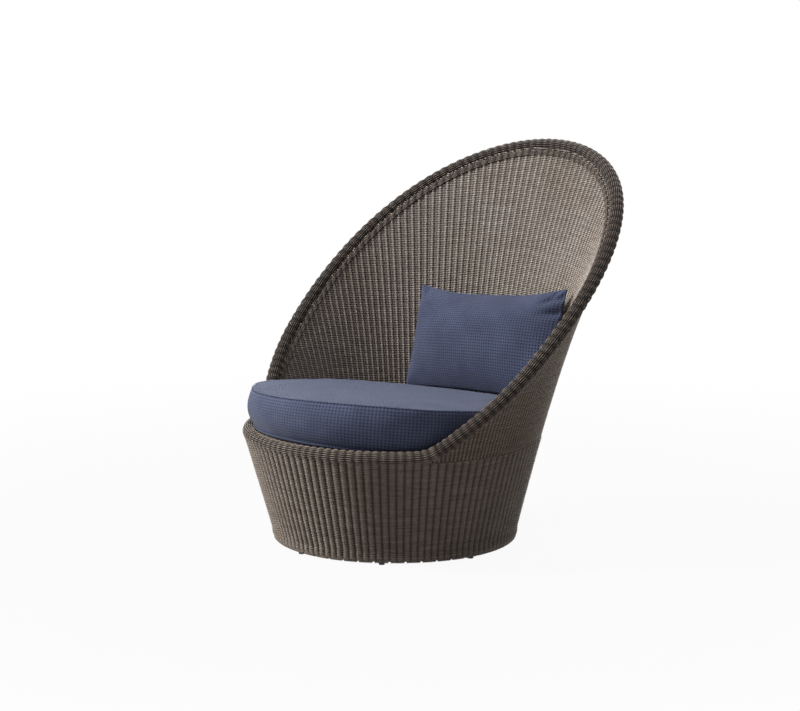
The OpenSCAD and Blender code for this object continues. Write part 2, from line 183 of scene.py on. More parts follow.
def multiplied(material, first, second):     # one colour output darkened or lightened by another
    product = addNode(material, "ShaderNodeMix", data_type="RGBA", blend_type="MULTIPLY")
    product.inputs[mixSocket["factor"]].default_value = 1
    material.node_tree.links.new(first, product.inputs[mixSocket["first"]])
    material.node_tree.links.new(second, product.inputs[mixSocket["second"]])
    return product.outputs[mixSocket["result"]]


def noisePattern(material, coords, scale, detail):
    noise = addNode(material, "ShaderNodeTexNoise", Detail=detail, Scale=scale)
    link(material, coords, "Vector", noise, "Vector")
    return noise


def addBump(material, shader, source, output, strength, distance):
    bump = addNode(material, "ShaderNodeBump")
    bump.inputs["Strength"].default_value = strength
    bump.inputs["Distance"].default_value = distance
    link(material, source, output, bump, "Height")
    link(material, bump, "Normal", shader, "Normal")


# Round synthetic strand: every row has its own tone; painted shade darkens the hollows between the ribs,
# warmer there, and a painted highlight lightens the crests
def strandMaterial(name, rowPitch, roughness, dark, light, paintedHollowShade, paintedCrestHighlight):
    material, shader = startMaterial(name, roughness, 0.35)
    rows = noisePattern(material, objectPattern(material, (14, 14, 1/rowPitch)), 1, 1)
    grain = noisePattern(material, objectPattern(material, (260, 260, 420)), 1, 2)
    cloud = noisePattern(material, objectPattern(material), 5, 2)
    tones = twoTones(material, rows, "Fac", 0.35, 0.65, dark, light)
    speckle = twoTones(material, grain, "Fac", 0.3, 0.7, (0.72, 0.71, 0.70, 1), (1.18, 1.16, 1.14, 1))
    # each point's painted light: 0 gives the hollow's painted shade, 1 the crest's painted highlight
    ribs = addNode(material, "ShaderNodeAttribute", attribute_name="paintedLight")
    depth = twoTones(material, ribs, "Fac", 0.1, 0.9, (paintedHollowShade, paintedHollowShade*0.93, paintedHollowShade*0.88, 1),
                     (paintedCrestHighlight, paintedCrestHighlight, paintedCrestHighlight, 1))
    patches = twoTones(material, cloud, "Fac", 0.3, 0.7, (0.9, 0.88, 0.85, 1), (1.06, 1.07, 1.09, 1))
    colour = tones.outputs["Color"]
    for layer in (speckle, depth, patches):
        colour = multiplied(material, colour, layer.outputs["Color"])
    material.node_tree.links.new(colour, shader.inputs["Base Color"])
    addBump(material, shader, grain, "Fac", 0.25, 0.0006)
    return material


# Satin powder coat on the frame tubes
def coatMaterial(name, colour):
    material, shader = startMaterial(name, 0.42)
    grain = noisePattern(material, objectPattern(material), 900, 3)
    wear = noisePattern(material, objectPattern(material), 14, 4)
    darker = tuple(c*0.7 for c in colour[:3]) + (1,)
    tones = twoTones(material, wear, "Fac", 0.3, 0.7, darker, colour)
    link(material, tones, "Color", shader, "Base Color")
    addBump(material, shader, grain, "Fac", 0.2, 0.0003)
    return material


# Coarse basket cloth: light yarns, with painted shade in a hole at each crossing
def clothMaterial(name, pitch, yarn, shade, hole):
    material, shader = startMaterial(name, 0.85, 0.2)
    shader.inputs["Sheen Weight"].default_value = 0.12
    shader.inputs["Sheen Roughness"].default_value = 0.5
    grid = clothPattern(material, (2*math.pi/pitch[0], 2*math.pi/pitch[1], 1))
    split = addNode(material, "ShaderNodeSeparateXYZ")
    link(material, grid, "Vector", split, "Vector")
    lattice = addNode(material, "ShaderNodeMath", operation="ADD")
    for number, axis in enumerate(("X", "Y")):
        wave = addNode(material, "ShaderNodeMath", operation="COSINE")
        link(material, split, axis, wave, 0)
        link(material, wave, "Value", lattice, number)
    holes = addNode(material, "ShaderNodeMapRange", interpolation_type="SMOOTHSTEP")
    holes.inputs["From Min"].default_value = -0.1
    holes.inputs["From Max"].default_value = 1.9
    link(material, lattice, "Value", holes, "Value")
    cloud = noisePattern(material, clothPattern(material), 11, 3)
    fuzz = noisePattern(material, clothPattern(material), 700, 2)
    tones = twoTones(material, cloud, "Fac", 0.35, 0.65, shade, yarn)
    speckle = twoTones(material, fuzz, "Fac", 0.3, 0.7, (0.74, 0.74, 0.77, 1), (1.2, 1.2, 1.18, 1))
    yarns = multiplied(material, tones.outputs["Color"], speckle.outputs["Color"])
    # the holes take the hole colour: painted shade
    colour = addNode(material, "ShaderNodeMix", data_type="RGBA")
    link(material, holes, "Result", colour, mixSocket["factor"])
    material.node_tree.links.new(yarns, colour.inputs[mixSocket["first"]])
    colour.inputs[mixSocket["second"]].default_value = hole
    link(material, colour, mixSocket["result"], shader, "Base Color")
    dent = addNode(material, "ShaderNodeMath", operation="SUBTRACT")
    link(material, fuzz, "Fac", dent, 0)
    link(material, holes, "Result", dent, 1)
    addBump(material, shader, dent, "Value", 0.5, 0.0012)
    return material


# Matt moulded plastic, with a fine spark-eroded grain
def plasticMaterial(name, colour, roughness=0.6):
    material, shader = startMaterial(name, roughness)
    grain = noisePattern(material, objectPattern(material), 1400, 2)
    lighter = tuple(min(1, c*1.5 + 0.004) for c in colour[:3]) + (1,)
    tones = twoTones(material, grain, "Fac", 0.3, 0.7, colour, lighter)
    link(material, tones, "Color", shader, "Base Color")
    addBump(material, shader, grain, "Fac", 0.3, 0.0002)
    return material


strandTones = {       # dark and light tone, painted shade of a hollow and painted highlight of a crest
    "base": (paint(124, 112, 102), paint(144, 133, 123), 0.36, 1.2),
    "back": (paint(110, 96, 83), paint(132, 118, 104), 0.22, 1.8),
    "backStake": (paint(66, 57, 50), paint(88, 77, 68), 0.8, 1.2),
    # the lining's strands are the base's strands made lighter with painted light
    "lining": (paint(160, 150, 142), paint(180, 171, 163), 0.42, 1.35),
    # the back rim's strands are the base's strands made darker with painted shade
    "rim": (paint(84, 71, 62), paint(107, 94, 84), 0.18, 1.3),
    "stake": (paint(70, 60, 52), paint(92, 80, 70), 0.4, 1.2),
    "deck": (paint(104, 92, 80), paint(132, 120, 108), 0.4, 1.2),
}
strandRow = {"wall": 0.0049, "deck": 0.010}       # height of one row, which has one tone
strandGloss = {"plain": 0.5, "rim": 0.42}
clothPitch = (0.0096, 0.0083)                     # from one hole of the cloth to the next, across and up
clothTones = {        # yarn, shaded yarn and hole, the hole's dark colour being painted shade
    "cushion": (paint(93, 101, 127), paint(83, 91, 116), paint(34, 40, 67)),
    # the pillow's cloth is the cushion's cloth darkened with painted shade
    "pillow": (paint(81, 89, 115), paint(70, 77, 103), paint(20, 25, 49)),
}
finish = {}
for key, tones in strandTones.items():
    row = strandRow.get(key, strandRow["wall"])
    gloss = strandGloss.get(key, strandGloss["plain"])
    finish[key] = strandMaterial(key + "Strand", row, gloss, *tones)
for key, tones in clothTones.items():
    finish[key] = clothMaterial(key + "Cloth", clothPitch, *tones)
finish |= {
    # near-black padding: painted shade between the roll's strands; the rim's stitches use it too
    "core": plasticMaterial("rimPaddingPaintedShade", paint(26, 21, 18), 0.8),
    "tube": coatMaterial("powderCoat", paint(76, 66, 58)),
    "glide": plasticMaterial("glidePlastic", paint(34, 34, 34)),
    "thread": plasticMaterial("seamThread", paint(30, 36, 70), 0.8),
    "tape": plasticMaterial("zipTape", paint(44, 50, 78), 0.85),
    "slider": coatMaterial("zipMetal", paint(66, 68, 74)),
}


# The woven wall's shape: the same sizes as the construction has, in metres and degrees
wall = {
    "radius": 0.325,        # outer radius at the floor
    "flare": 14.6,
    "swell": 0.089,         # extra half width at a height of 1 m
    "lean": 0.027,          # forward lean at a height of 1 m
    "kick": 0.031,          # extra outward sweep under the back rim
    "sheet": 0.005,         # thickness of the outer and of the inner weave
    "liningInset": 0.0202,
    "splitHeight": 0.2884,  # join of the base and the back
    "backStarts": 60,       # over these angles from the front the wall turns from a base's into a back's
    "backWithin": 35,
}
rim = {
    "front": 0.300,         # height of the low front
    "slantHeight": 0.484,   # height of the slanted plane over the base's axis
    "slantAngle": 46,
    "bow": 0.160,           # how much the slant flattens towards the top
    "softness": 0.012,      # how gently the front runs into the slant
    "frontInset": 0.015,    # the rim's middle lies this far inside the wall's face
    "backInset": 0.007,
    "angleStep": 0.5,       # between solved points of the rim
    "rounds": 12,
}
axisY = middle("base_ring").y      # the base's axis lies behind the chair's middle
flare = math.tan(math.radians(wall["flare"]))


def folded(angle):
    angle = abs(angle) % 360
    return 360 - angle if angle > 180 else angle


def backness(angle):
    return ramp((folded(angle) - wall["backStarts"])/wall["backWithin"])


def rimInset(angle):
    return mix(rim["frontInset"], rim["backInset"], backness(angle))


def solveRim(angle):      # the height at which the wall meets the slanted plane or the low front
    height = rim["slantHeight"]
    for step in range(rim["rounds"]):
        out = wall["radius"] + flare*height + wall["kick"]*backness(angle) - rimInset(angle)
        y = -wall["lean"]*height - out*math.cos(math.radians(angle))
        slanted = rim["slantHeight"] + math.tan(math.radians(rim["slantAngle"]))*y - rim["bow"]*y*y
        over = (slanted - rim["front"])/rim["softness"]
        height = slanted if over > 20 else rim["front"] + rim["softness"]*math.log(1 + math.exp(over))
    return height


rimAngles = np.arange(0, 180.01, rim["angleStep"])
rimHeights = np.array([solveRim(angle) for angle in rimAngles])


def rimHeight(angle):
    return float(np.interp(folded(angle), rimAngles, rimHeights))


def wallPoint(angle, height, inset=0.0):
    kick = wall["kick"]*backness(angle)*min(1, height/rimHeight(angle))**4
    wide = wall["radius"] + flare*height + wall["swell"]*height**2 + kick - inset
    deep = wall["radius"] + flare*height + kick - inset
    turn = math.radians(angle)
    return Vector((wide*math.sin(turn), axisY - wall["lean"]*height - deep*math.cos(turn), height))


def rimPoint(angle):
    return wallPoint(angle, rimHeight(angle), rimInset(angle))


def rimFrame(angle):      # the rim's middle, and its outward and upward directions
    near = rim["angleStep"]
    along = (rimPoint(angle + near) - rimPoint(angle - near)).normalized()
    out = along.cross(Vector((0, 0, 1))).normalized()
    return rimPoint(angle), out, out.cross(along)


# Strands: a list of paths becomes one mesh of thin tubes. A point's painted light is 0 for the painted shade
# of a hollow and 1 for the painted highlight of a crest
def strandMesh(name, paths, radius, closed=False, sides=4, tones=None):
    curve = bpy.data.curves.new(name, "CURVE")
    curve.dimensions = "3D"
    curve.bevel_depth = radius
    curve.bevel_resolution = (sides - 4)//2
    curve.twist_mode = "Z_UP"
    for path in paths:
        spline = curve.splines.new("POLY")
        spline.points.add(len(path) - 1)
        spline.points.foreach_set("co", [c for point in path for c in (*point, 1)])
        spline.use_cyclic_u = closed
    holder = addObject(name, curve)
    bpy.context.view_layer.update()
    mesh = evaluated(holder)
    bpy.data.objects.remove(holder)
    shade = mesh.attributes.new("paintedLight", "FLOAT", "POINT")
    around = len(mesh.vertices)//sum(len(path) for path in paths)
    # without given values a point takes the middle, between painted shade and painted highlight
    runs = tones or [[0.5]*len(path) for path in paths]
    shade.data.foreach_set("value", np.repeat(np.array([t for run in runs for t in run]), around))
    bm = bmesh.new()
    bm.from_mesh(mesh)
    bmesh.ops.holes_fill(bm, edges=[edge for edge in bm.edges if edge.is_boundary], sides=0)
    for face in bm.faces:
        face.smooth = True
    bmesh.ops.recalc_face_normals(bm, faces=bm.faces)
    bm.to_mesh(mesh)
    bm.free()
    mesh.name = name
    return mesh


weave = {
    "rowPitch": strandRow["wall"],
    "strand": 0.0024,         # radius of a strand of the base
    "wallStrand": 0.0024,     # radius of a strand of the back and its lining
    "ridges": 114,            # upright ridges all round the base
    "ridgeDepth": 0.0031,     # how far the rows swing in and out over a ridge
    "ribs": 174,              # ribs of the lining and of the back rim, all round
    "ribDepth": 0.0017,
    "halfRibDepth": 0.0011,   # the smaller rib between two ribs
    "backDepth": 0.0013,      # swing of the rows over the back's finer stakes
    "columnsPerRidge": 2,     # the back's columns are finer than the base's ridges
    "stepsPerColumn": 2,
    "stepsPerRidge": 6,
    "stepsPerRib": 4,
    "jitter": 0.00025,
    "backFrom": 46,           # angle at which the back's rows may begin
    "rowsUnderRim": 0.006,    # their ends lie this far under the rim's middle
    "backShares": (0.4, 1),   # the share of the back's rows at which each of its pieces ends
    "backStake": 0.0019,      # radius of a stake of the back
    "backStakePoints": 14,
    "shortestStake": 0.015,
    "seed": 7,
}
chance = random.Random(weave["seed"])


# Floor ring, as the rows and bundles of the base go round it
ringLow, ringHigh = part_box("base_ring")
ring = {
    "tubeRadius": 0.010,
    "height": 0.019,          # of the tube's middle
    "rowRadius": 0.0123,      # from the tube's middle to the rows that turn in under it
}
ring["radius"] = (ringHigh.x - ringLow.x)/2 - ring["tubeRadius"]


# Base: closed rows over round ridges with narrow hollows, the lowest rows turned in under the floor ring
base = {
    "inset": 0.0017,          # of the rows' middle from the wall's face
    "joinHeight": 0.040,      # under this the rows draw in towards the ring
    "lowSwing": 0.8,          # share of the ridges' depth that is left there
    "turnedRows": ((2, 0.5), (21, 0.3), (38, 0.15)),     # degrees under the ring, share of the ridges' depth
    "roundness": 0.8,         # under 1, the ridges are round and the hollows narrow
    "stakeInset": 0.0021,
    "stakeRadius": 0.0016,
    "stakePoints": 6,
}


def baseRows():       # height, inset and swing of each row
    joinHeight = base["joinHeight"]
    rows = []
    height = wall["splitHeight"] - weave["rowPitch"]/2
    while height > ring["height"] + 0.001:
        inset = base["inset"]
        if height < joinHeight:
            outer = mix(ring["radius"] + ring["rowRadius"], wall["radius"] + flare*joinHeight - inset,
                        (height - ring["height"])/(joinHeight - ring["height"]))
            inset = wall["radius"] + flare*height - outer
        rows.append((height, inset, 1.0 if height > joinHeight else base["lowSwing"]))
        height -= weave["rowPitch"]
    for turn, swing in base["turnedRows"]:
        drop = math.radians(turn)
        low = ring["height"] - ring["rowRadius"]*math.sin(drop)
        outer = ring["radius"] + ring["rowRadius"]*math.cos(drop)
        rows.append((low, wall["radius"] + flare*low - outer, swing))
    return rows


def makeBase():
    count = weave["ridges"]*weave["stepsPerRidge"]
    profile = []
    for i in range(weave["stepsPerRidge"]):
        profile.append(2*abs(math.cos(math.pi*i/weave["stepsPerRidge"]))**base["roundness"] - 1)
    paths, tones = [], []
    for height, inset, swing in baseRows():
        loose = chance.uniform(-weave["jitter"], weave["jitter"])
        path = []
        for i in range(count):
            wave = profile[i % weave["stepsPerRidge"]]
            path.append(wallPoint(360*i/count, height, inset - weave["ridgeDepth"]*swing*wave - loose))
        paths.append(path)
        # painted light: a painted highlight on each ridge's crest, painted shade in the hollows
        tones.append([(1 + w)/2 for w in profile]*weave["ridges"])
    half = len(paths)//2
    for name, first, last in (("baseWeaveUpper", 0, half), ("baseWeaveLower", half, len(paths))):
        mesh = strandMesh(name, paths[first:last], weave["strand"], True, tones=tones[first:last])
        addPiece(name, mesh, "chair", finish["base"], ["base_weave"])
    stakes = []
    for i in range(weave["ridges"]):
        angle = 360*i/weave["ridges"]
        heights = np.linspace(base["joinHeight"], wall["splitHeight"], base["stakePoints"])
        stakes.append([wallPoint(angle, height, base["stakeInset"]) for height in heights])
    mesh = strandMesh("baseStakes", stakes, base["stakeRadius"])
    addPiece("baseStakes", mesh, "chair", finish["stake"])


# Base binding: bundles of strands wrapped round the floor ring
bundle = {
    "count": 48,
    "strands": 8,
    "spread": 0.0046,         # pitch of the strands in a bundle
    "strandRadius": 0.0022,
    "reach": 0.0144,          # from the ring's middle to a strand's middle
    "from": -38,              # degrees round the ring, 0 outwards, -90 straight down
    "to": -262,
    "steps": 12,
    # painted light of the bundles: close to a crest's painted highlight
    "paintedLight": 0.8,
}


def makeBundles():
    middleY = axisY - wall["lean"]*ring["height"]
    turns = np.linspace(math.radians(bundle["from"]), math.radians(bundle["to"]), bundle["steps"])
    paths = []
    for i in range(bundle["count"]):
        for k in range(bundle["strands"]):
            sideways = (k - (bundle["strands"] - 1)/2)*bundle["spread"]
            turn = math.radians(360*i/bundle["count"]) + sideways/(ring["radius"] + ring["tubeRadius"])
            path = []
            for t in turns:
                out = ring["radius"] + bundle["reach"]*math.cos(t)
                height = ring["height"] + bundle["reach"]*math.sin(t)
                path.append(Vector((out*math.sin(turn), middleY - out*math.cos(turn), height)))
            paths.append(path)
    tones = [[bundle["paintedLight"]]*bundle["steps"]]*len(paths)
    mesh = strandMesh("baseBundles", paths, bundle["strandRadius"], tones=tones)
    addPiece("baseBundles", mesh, "chair", finish["base"], ["base_binding"])


# Rows of a wall that is cut by the slanted rim: each row runs between the angles where it meets the rim
def cutRows(lowEdge, highEdge, step, place):
    first = round(weave["backFrom"]/step)
    angles = [step*i for i in range(first, int(180/step) + 1)]
    height = wall["splitHeight"] + weave["rowPitch"]/2
    while height - weave["rowPitch"] > min(lowEdge(a) for a in angles):
        height -= weave["rowPitch"]
    rows, tones = [], []
    while height < highEdge(180):
        inside = [a for a in angles if lowEdge(a) <= height <= highEdge(a)]
        if len(inside) > 2:
            steps = round((360 - 2*inside[0])/step)
            loose = chance.uniform(-weave["jitter"], weave["jitter"])
            run = [place(inside[0] + step*i, height, loose) for i in range(steps + 1)]
            rows.append([point for point, paintedLight in run])
            tones.append([paintedLight for point, paintedLight in run])
        height += weave["rowPitch"]
    return rows, tones


def addRows(names, shares, rows, tones, material, node):     # a wall is split into pieces, low to high
    start = 0
    for name, share in zip(names, shares):
        end = int(len(rows)*share)
        mesh = strandMesh(name, rows[start:end], weave["wallStrand"], tones=tones[start:end])
        addPiece(name, mesh, "chair", material, [node])
        start = end


def rowsEnd(angle):       # rows run a little into the rim roll, which hides their ends
    return rimHeight(angle) - weave["rowsUnderRim"]


# Back, outside: rows swing out over fine upright stakes, so it shows as narrow columns
def makeBack():
    column = 360/weave["ridges"]/weave["columnsPerRidge"]
    step = column/weave["stepsPerColumn"]

    def place(angle, height, loose):
        wave = math.cos(2*math.pi*angle/column)
        # painted light: a narrow painted highlight on each column's crest, painted shade between
        return wallPoint(angle, height, wall["sheet"]/2 - weave["backDepth"]*wave + loose), ((1 + wave)/2)**2

    rows, tones = cutRows(lambda a: wall["splitHeight"], rowsEnd, step, place)
    names = ("backWeaveLower", "backWeaveUpper")
    addRows(names, weave["backShares"], rows, tones, finish["back"], "back_weave")
    stakes = []
    first = math.ceil(weave["backFrom"]/column)
    for i in range(first, round(360/column) - first + 1):
        angle = column*i
        top = rowsEnd(angle)
        if top > wall["splitHeight"] + weave["shortestStake"]:
            heights = np.linspace(wall["splitHeight"], top, weave["backStakePoints"])
            stakes.append([wallPoint(angle, height, wall["sheet"]/2) for height in heights])
    mesh = strandMesh("backStakes", stakes, weave["backStake"])
    addPiece("backStakes", mesh, "chair", finish["backStake"])


# Back, inside: rows bulge together over the ribs, with a smaller rib between two
lining = {
    "lowEdge": 0.272,         # height over the base's axis
    "tilt": 6.1,              # the edge slopes back as the seat does
    "tones": (1, 0.05, 0.45, 0.05),       # painted light over a rib, a hollow, a smaller rib and a hollow: painted highlights on the ribs, painted shade in the hollows
    "shares": (0.34, 0.62, 1),            # the share of its rows at which each of its pieces ends
}


def makeLining():
    period = 360/weave["ribs"]
    step = period/weave["stepsPerRib"]
    slope = math.tan(math.radians(lining["tilt"]))

    def lowEdge(angle):
        return lining["lowEdge"] - slope*(wallPoint(angle, lining["lowEdge"]).y - axisY)

    def place(angle, height, loose):
        turn = 2*math.pi*angle/period
        wave = weave["ribDepth"]*math.cos(turn) + weave["halfRibDepth"]*math.cos(2*turn)
        paintedLight = lining["tones"][round(angle/step) % weave["stepsPerRib"]]
        return wallPoint(angle, height, wall["liningInset"] + wall["sheet"]/2 + wave + loose), paintedLight

    rows, tones = cutRows(lowEdge, rowsEnd, step, place)
    names = ("liningLower", "liningMiddle", "liningUpper")
    addRows(names, lining["shares"], rows, tones, finish["lining"], "back_lining")


# Rim roll: strands along the rim over a padded tube, lifted by a rib at each stake; the tube's near-black
# colour is painted shade between the strands
roll = {
    "strandCount": 20,
    "strandRadius": 0.0014,
    "radius": 0.0155,
    "ribLift": 0.0025,
    "coreRadius": 0.0138,
    "coreSides": 12,
    "stakeRadius": 0.0011,
    "stakeInset": 0.0021,     # from the top of a rib
    "stakePoints": 14,
    "liftShape": (0, 0.35, 0.85, 1, 0.85, 0.35),      # from one hollow to the next
}


def makeRoll(name, start, end, ribCount, material, node):
    each = len(roll["liftShape"])
    shape = [roll["liftShape"][i % each] for i in range(ribCount*each + 1)]
    paths = [[] for k in range(roll["strandCount"])]
    core = []
    for i, lift in enumerate(shape):
        centre, out, up = rimFrame(mix(start, end, i/(ribCount*each)))
        core.append(centre)
        reach = roll["radius"] + roll["ribLift"]*lift
        for k, path in enumerate(paths):
            turn = 2*math.pi*k/roll["strandCount"]
            path.append(centre + out*reach*math.cos(turn) + up*reach*math.sin(turn))
    # painted light follows the lift: painted highlights on the ribs, painted shade in the hollows between
    mesh = strandMesh(name, paths, roll["strandRadius"], tones=[shape]*len(paths))
    addPiece(name, mesh, "chair", material, [node])
    padding = strandMesh(name + "Padding", [core], roll["coreRadius"], sides=roll["coreSides"])
    addPiece(name + "Padding", padding, "chair", finish["core"])
    stakes = []
    for i in range(ribCount):
        centre, out, up = rimFrame(mix(start, end, (i + 0.5)/ribCount))
        reach = roll["radius"] + roll["ribLift"] - roll["stakeInset"]
        turns = np.linspace(0, 2*math.pi, roll["stakePoints"], endpoint=False)
        stakes.append([centre + out*reach*math.cos(t) + up*reach*math.sin(t) for t in turns])
    hoops = strandMesh(name + "Stakes", stakes, roll["stakeRadius"], True)
    addPiece(name + "Stakes", hoops, "chair", material)


# Inner side of the back rim: a row of dark stitches under the roll, then a narrow band of strands
rimBand = {
    "stitchDrop": 0.0095,     # from the roll's middle down to the stitches
    "stitches": 218,
    "stitchLength": 0.7,      # share of the way to the next stitch
    "stitchRadius": 0.0012,
    "strandDrops": (0.0135, 0.0169, 0.0203, 0.0237),
    "strandRadius": 0.0018,
    "proud": 0.0014,          # how far it stands off the lining
    "ribProud": 0.0012,       # more over each rib
    "fromShoulder": 6,        # degrees
}


def makeRimBand():
    start = shoulder + rimBand["fromShoulder"]
    end = 360 - start

    def bandPoint(angle, drop, proud):
        return wallPoint(angle, rimPoint(angle).z - drop, wall["liningInset"] + wall["sheet"] + proud)

    stitches = []
    for i in range(rimBand["stitches"]):
        ends = [mix(start, end, (i + share)/rimBand["stitches"]) for share in (0, rimBand["stitchLength"])]
        stitches.append([bandPoint(angle, rimBand["stitchDrop"], rimBand["proud"]) for angle in ends])
    mesh = strandMesh("rimStitches", stitches, rimBand["stitchRadius"])
    addPiece("rimStitches", mesh, "chair", finish["core"])
    each = len(roll["liftShape"])
    count = round((end - start)*weave["ribs"]/360)*each
    shape = [roll["liftShape"][i % each] for i in range(count + 1)]
    paths = []
    for drop in rimBand["strandDrops"]:
        paths.append([bandPoint(mix(start, end, i/count), drop, rimBand["proud"] + rimBand["ribProud"]*lift)
                      for i, lift in enumerate(shape)])
    # painted light follows the lift: painted highlights over the ribs, painted shade between
    mesh = strandMesh("rimBand", paths, rimBand["strandRadius"], tones=[shape]*len(paths))
    addPiece("rimBand", mesh, "chair", finish["rim"])


# Seat deck: plain weave, stretched over the seat ring under the cushion
deckWeave = {
    "pitch": 0.0092,
    "strand": 0.0021,
    "swing": 0.0012,
    "sag": 0.003,
    "thickness": 0.006,
    "edgeInset": 0.001,
    "lastCrossing": 0.2,      # a strand's end is at least this share of the pitch past its last crossing
    "atAxis": 0.268,          # height of the face over the base's axis
    "tilt": 6.1,
}


def makeDeck():
    low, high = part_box("seat_deck")
    y = (low.y + high.y)/2
    reach = (high.x - low.x)/2 - deckWeave["edgeInset"]
    tilt = math.radians(deckWeave["tilt"])
    height = deckWeave["atAxis"] - math.tan(tilt)*(y - axisY)
    place = Matrix.Translation((0, y, height)) @ Matrix.Rotation(-tilt, 4, "X")
    pitch = deckWeave["pitch"]
    paths, tones = [], []
    for crossing in (0, 1):
        for i in range(-int(reach/pitch), int(reach/pitch) + 1):
            half = math.sqrt(reach**2 - (i*pitch)**2)
            last = int(half/pitch - deckWeave["lastCrossing"])
            path, run = [], []
            for k in range(-last - 1, last + 2):
                along = max(-half, min(half, k*pitch))
                over = (i + k + crossing) % 2
                height = deckWeave["swing"]*(2*over - 1) - deckWeave["thickness"]/2
                height -= deckWeave["sag"]*(1 - (along**2 + (i*pitch)**2)/reach**2)
                across = (i*pitch, along) if crossing else (along, i*pitch)
                path.append(place @ Vector((*across, height)))
                # painted light: lighter where a strand passes over, painted shade where it passes under
                run.append(over)
            paths.append(path)
            tones.append(run)
    mesh = strandMesh("deckWeave", paths, deckWeave["strand"], tones=tones)
    addPiece("deckWeave", mesh, "chair", finish["deck"], ["seat_deck"])


frontRibs = 43                            # the front roll's ribs carry on from the base's ridges
shoulder = frontRibs/2*360/weave["ridges"]
backRibs = round((360 - 2*shoulder)*weave["ribs"]/360)
makeBase()
makeBundles()
makeBack()
makeLining()
makeRoll("frontRoll", -shoulder, shoulder, frontRibs, finish["base"], "front_rim_binding")
makeRoll("backRoll", shoulder, 360 - shoulder, backRibs, finish["rim"], "back_rim_binding")
makeRimBand()
makeDeck()
print("weave done")


# Soft goods: a cloth simulation swells the sewn cover, and no point of it moves further than "most"
clothFeel = {
    "quality": 6,
    "mass": 0.3,
    "tension_stiffness": 25,
    "compression_stiffness": 10,
    "shear_stiffness": 8,
    "bending_stiffness": 0.6,
    "air_damping": 3,
    "vertex_group_mass": "pins",
    "pin_stiffness": 3,
    "use_pressure": True,
}


def swell(start, rest, pins, settings):
    holder = addObject("cover", start)
    group = holder.vertex_groups.new(name="pins")
    for index, weight in pins.items():
        group.add([index], weight, "REPLACE")
    before = placesOf(start)
    if rest is not None:
        holder.shape_key_add(name="start")
        cut = holder.shape_key_add(name="cut")
        cut.data.foreach_set("co", rest.ravel())
    cloth = holder.modifiers.new("cloth", "CLOTH")
    for key, value in clothFeel.items():
        setattr(cloth.settings, key, value)
    cloth.settings.uniform_pressure_force = settings["pressure"]
    cloth.settings.effector_weights.gravity = 0
    cloth.collision_settings.use_collision = False
    if rest is not None:
        cloth.settings.rest_shape_key = cut
    cloth.point_cache.frame_end = settings["frames"]
    for number in range(1, settings["frames"] + 1):
        bpy.context.scene.frame_set(number)
    after = placesOf(evaluated(holder))
    holder.shape_key_clear()
    bpy.data.objects.remove(holder)
    bpy.context.scene.frame_set(1)
    move = after - before
    length = np.linalg.norm(move, axis=1, keepdims=True)
    print("swelled by", round(float(length.max())*1000, 1), "mm at most")
    most = settings["most"]
    return before + move*np.minimum(1, most*np.tanh(length/most)/np.maximum(length, 1e-9))


def subdivided(mesh):
    holder = addObject("rough", mesh)
    finer = holder.modifiers.new("finer", "SUBSURF")
    finer.levels = finer.render_levels = 1
    finer.boundary_smooth = "PRESERVE_CORNERS"
    result = evaluated(holder)
    bpy.data.objects.remove(holder)
    result.shade_smooth()
    return result


# Seat cushion: a lathed cover with a flat bottom, a soft lower edge, a side band and a crowned top
cushion = {
    "radius": 0.377,
    "flatRadius": 0.335,
    "lowSeamRadius": 0.3700,
    "lowSeamHeight": 0.020,
    "seamHeight": 0.135,
    "bandBulge": 0.007,
    "frontBulge": 0.010,      # extra swell of the band over the low front rim
    "frontBulgeAt": -15,      # degrees from the front
    "frontBulgeFrom": -0.25,  # cosine of the angle from there at which it begins, and how fast it grows
    "frontBulgeWithin": 1.1,
    "crown": 0.007,
    "dip": 0.023,             # how far the top sinks towards the back, on the sitter's right
    "dipWithin": 0.38,        # metres over which it sinks
    "dipTowards": (-0.707, 0.707),
    "leftDroop": 0.019,       # how far the seam hangs where the cushion overhangs the rim
    "droopAt": -30,           # degrees from the front, and how far to both sides it fades out
    "droopWithin": 80,
    "forward": -0.02396,      # from the base's axis
    "restHeight": 0.270861,
    "tilt": 6.1,
    "around": 168,
    "grooveWidth": 0.0035,
    "grooveDepth": 0.0028,
    "pinnedSeam": 0.0065,     # the cloth is held this near to a seam, and under pinnedUnder
    "pinnedUnder": 0.012,
    "looseness": 0.02,        # pin weight of the cloth elsewhere
    "pressure": 3.0,
    "frames": 18,
    "most": 0.009,
    "ripples": ((0.0016, (9, 9, 14)), (0.0010, (23, 23, 30))),     # depth and waves in each metre
    "bandRipple": 2,          # how much deeper they are on the band, outwards
    "sideRipple": 0.3,        # what is left of them up and down below the top
    "underStretch": 0.6,      # how the cloth map shortens under the lower seam
    "bandInside": 0.3,        # the band is what lies further out than this
    "stitches": 380,
    "stitchFrom": 0.14,       # a stitch's ends, as shares of the way to the next one
    "stitchTo": 0.86,
    "stitchInset": 0.0012,
    "stitchRadius": 0.0008,
}
zipBand = {                   # the band stays behind the CAD's zip tape here
    "halfAngle": 47,
    "fade": 12,               # degrees past its ends over which the band comes free
    "freedom": 0.020,
    "low": 0.038,             # height at which the construction's band begins
    "lowRadius": 0.3695,
    "bulge": 0.010,
    "behind": 0.0004,
}


